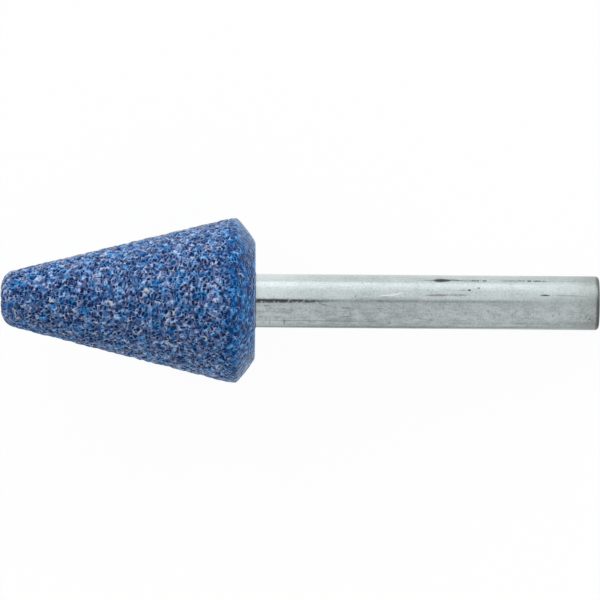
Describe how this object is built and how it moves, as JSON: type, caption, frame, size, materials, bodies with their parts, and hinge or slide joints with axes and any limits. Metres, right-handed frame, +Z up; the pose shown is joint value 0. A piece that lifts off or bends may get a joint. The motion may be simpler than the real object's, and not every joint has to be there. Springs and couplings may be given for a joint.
{
  "type": "mounted point",
  "caption": "Tapered abrasive grinding head with a rounded flat tip and a domed back, cemented onto a plain round steel shank that a collet grips.",
  "frame": {"origin": "middle of the footprint, on the ground that the part lies on", "axes": "+X along the part from the tip towards the free end of the shank, +Z up; the part rests on the rim of its head and the edge of the shank's free end, so its own axis dips by 8.8 degrees towards +X"},
  "size_m": [0.0666, 0.0184, 0.0183],
  "materials": {
    "abrasive": "matte",
    "plated_steel": "satin",
    "cement": "matte"
  },
  "bodies": {
    "root": {"abrasive_head": "abrasive", "shank": "plated_steel", "cement": "cement"}
  },
  "joints": []
}
